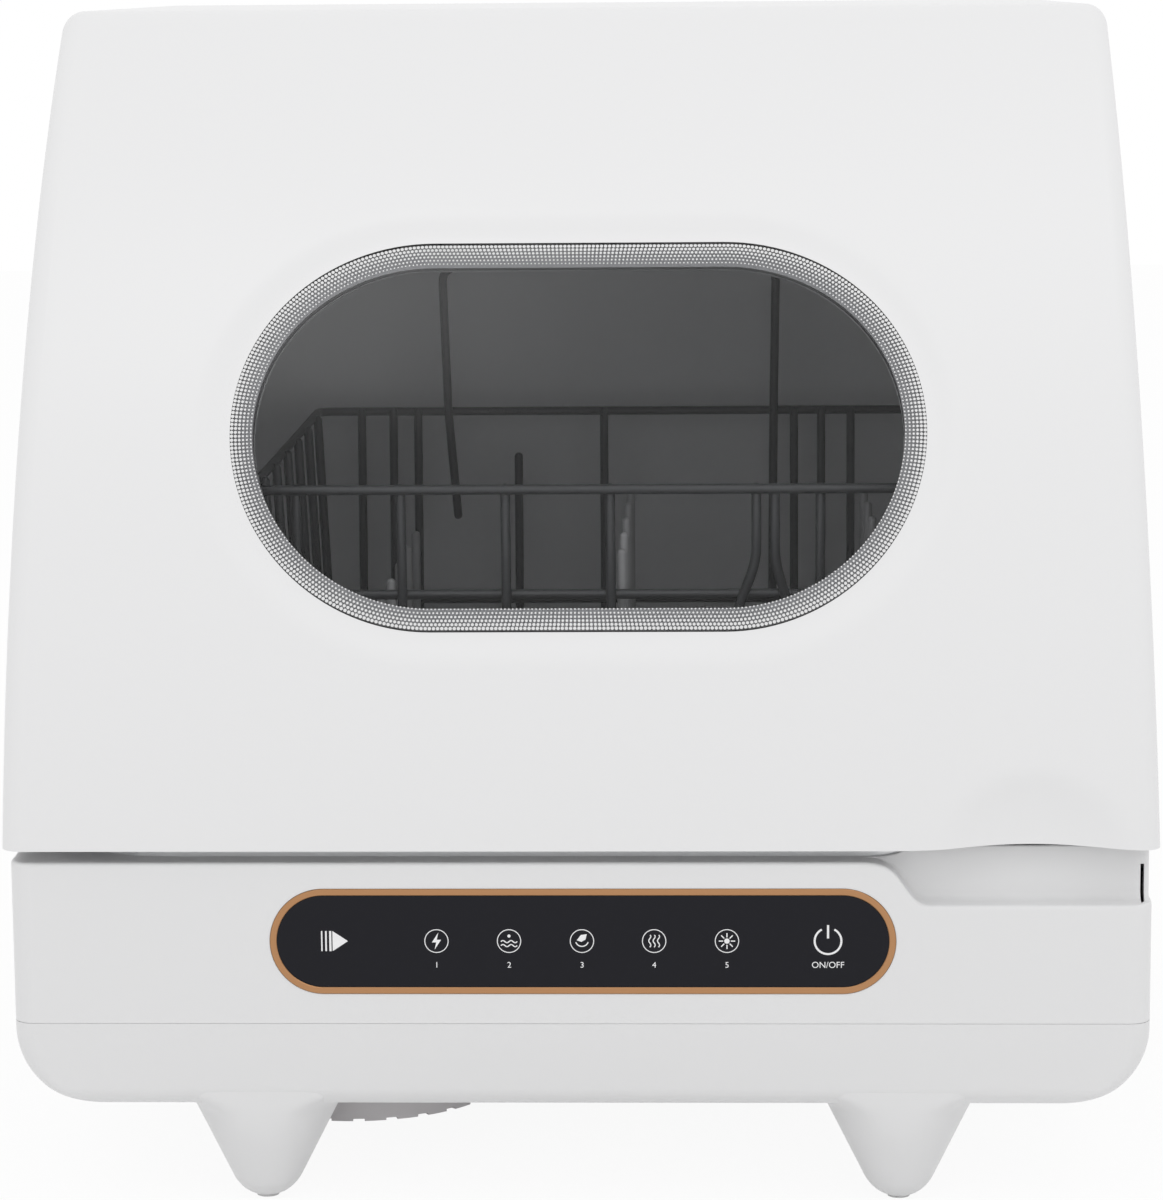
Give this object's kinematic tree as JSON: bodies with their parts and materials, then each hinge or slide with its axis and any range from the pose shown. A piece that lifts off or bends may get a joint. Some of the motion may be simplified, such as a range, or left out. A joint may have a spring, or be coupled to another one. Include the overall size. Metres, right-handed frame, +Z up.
{
  "type": "countertop dishwasher",
  "caption": "Countertop dishwasher: a lift-up hood with an oval window, hinged on a base with a touch panel, a wire rack over a spray arm, and four cone legs.",
  "frame": {"origin": "on the counter, under the middle of the bounding box", "axes": "+X to the right as seen from the front, +Y to the back, +Z up; the front faces -Y"},
  "size_m": [0.425, 0.41, 0.44],
  "materials": {
    "white_plastic": "satin white moulding",
    "tray_plastic": "satin white moulding",
    "grey_plastic": "mid grey moulding",
    "dark_plastic": "dark grey moulding",
    "liner_plastic": "smooth grey liner",
    "tub_steel": "brushed stainless steel",
    "steel": "zinc-plated steel",
    "pin_steel": "polished steel",
    "smoked_glass": "smoked glass",
    "panel_glass": "glossy black cover glass",
    "copper_trim": "brushed copper tone",
    "rubber": "soft seal",
    "pad_rubber": "pale soft pad",
    "hose_plastic": "translucent white tube",
    "rack_coating": "grey coated wire",
    "board_green": "circuit board",
    "winding": "copper winding with a steel core",
    "heater_steel": "steel tube element"
  },
  "bodies": {
    "base": {"base_housing": "white_plastic", "bottom_tray": "tray_plastic", "foot_pads": "pad_rubber", "tray_screws": "steel", "panel_trim": "copper_trim", "panel_glass": "panel_glass", "touch_board": "board_green", "wash_tub": "tub_steel", "tub_seal": "rubber", "sump": "dark_plastic", "filter_plate": "tub_steel", "heater": "heater_steel", "spray_riser": "grey_plastic", "spray_nut": "grey_plastic", "suction_tube": "hose_plastic", "delivery_tube": "hose_plastic", "pump_housing": "grey_plastic", "pump_motor": "steel", "motor_cover": "grey_plastic", "drain_pump_housing": "grey_plastic", "drain_motor": "steel", "drain_tube": "hose_plastic", "drain_outlet": "grey_plastic", "inlet_valve": "hose_plastic", "inlet_tube": "hose_plastic", "fan_housing": "dark_plastic", "fan_motor": "steel", "air_duct": "grey_plastic", "rear_vent": "grey_plastic", "main_board": "board_green", "transformer": "winding", "cord_gland": "dark_plastic", "lid_switch": "dark_plastic", "hinge_brackets": "steel", "hinge_screws": "steel", "hinge_dampers": "dark_plastic", "dish_rack": "rack_coating", "rack_feet": "grey_plastic", "plate_tines": "rack_coating", "cutlery_basket": "rack_coating"},
    "hood": {"hood_shell": "white_plastic", "hood_liner": "liner_plastic", "window_pane": "smoked_glass", "window_seal": "rubber", "hood_magnet": "steel", "hinge_arms": "steel", "hinge_pins": "pin_steel", "hood_screws": "steel"},
    "spray_arm": {"spray_arm": "grey_plastic"},
    "filter_cup": {"filter_cup": "dark_plastic"},
    "pump_rotor": {"pump_rotor": "grey_plastic"},
    "drain_rotor": {"drain_rotor": "grey_plastic"},
    "fan_rotor": {"fan_rotor": "grey_plastic"}
  },
  "joints": [
    {"name": "hood_hinge", "type": "hinge", "parent": "base", "child": "hood", "pos_m": [0, 0.187, 0.1515], "axis": [-1, 0, 0], "range_deg": [0, 75]},
    {"name": "spray_arm_spin", "type": "hinge", "parent": "base", "child": "spray_arm", "pos_m": [0, -0.012, 0.112], "axis": [0, 0, 1], "continuous": true},
    {"name": "filter_cup_twist", "type": "hinge", "parent": "base", "child": "filter_cup", "pos_m": [0.07, -0.097, 0.08], "axis": [0, 0, 1], "range_deg": [0, 45]},
    {"name": "wash_pump_spin", "type": "hinge", "parent": "base", "child": "pump_rotor", "pos_m": [-0.09, -0.097, 0.05], "axis": [0, 0, 1], "continuous": true},
    {"name": "drain_pump_spin", "type": "hinge", "parent": "base", "child": "drain_rotor", "pos_m": [0.125, -0.097, 0.069], "axis": [1, 0, 0], "continuous": true},
    {"name": "fan_spin", "type": "hinge", "parent": "base", "child": "fan_rotor", "pos_m": [0.156, 0.066, 0.06], "axis": [0, 0, 1], "continuous": true}
  ]
}
